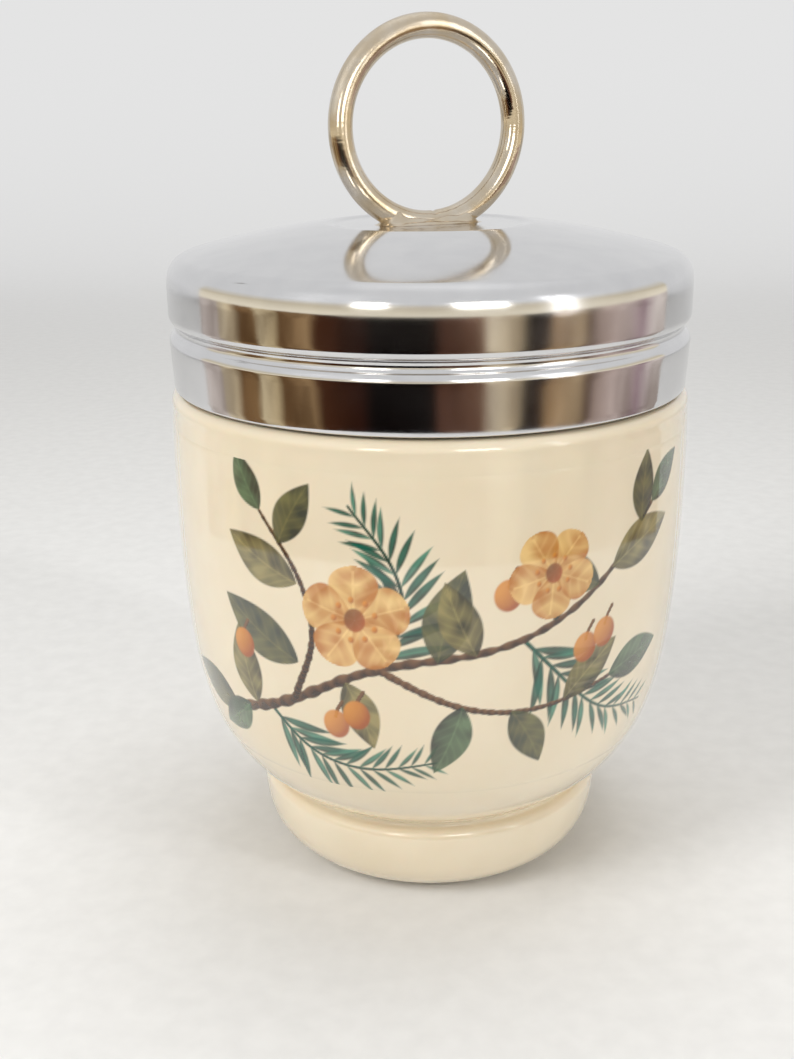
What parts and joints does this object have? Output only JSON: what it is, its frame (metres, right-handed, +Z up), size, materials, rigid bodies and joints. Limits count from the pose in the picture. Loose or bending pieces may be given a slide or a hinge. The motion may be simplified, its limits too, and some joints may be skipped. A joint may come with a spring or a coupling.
{
  "type": "egg coddler",
  "caption": "Footed porcelain egg coddler with a threaded neck, a chromed screw lid and an upright lifting ring.",
  "frame": {"origin": "centre of the foot, on the surface that the cup stands on", "axes": "+Z up along the axis of the cup and lid; -Y towards the decorated front"},
  "size_m": [0.067, 0.067, 0.109],
  "materials": {
    "porcelain": "glossy ivory glaze",
    "chrome": "mirror plated, fine scratches",
    "tinned_steel": "satin pressed sheet",
    "washer_rubber": "matt off-white",
    "ring_chrome": "plated wire, slightly warm",
    "solder": "plated solder bank, slightly rippled"
  },
  "bodies": {
    "cup": {"cup": "porcelain"},
    "seal": {"sealing_washer": "washer_rubber"},
    "lid": {"lid_shell": "chrome", "lid_liner": "tinned_steel", "lifting_ring": "ring_chrome", "ring_braze": "solder"}
  },
  "joints": [
    {"name": "lid_rise", "type": "slide", "parent": "cup", "child": "seal", "axis": [0, 0, 1], "range_m": [0, 0.018]},
    {"name": "lid_turn", "type": "hinge", "parent": "seal", "child": "lid", "pos_m": [0, 0, 0.08], "axis": [0, 0, 1], "range_deg": [0, 1260]}
  ],
  "couplings": [
    {"joint": "lid_rise", "follows": "lid_turn", "m_per_rad": 0.00079577}
  ]
}
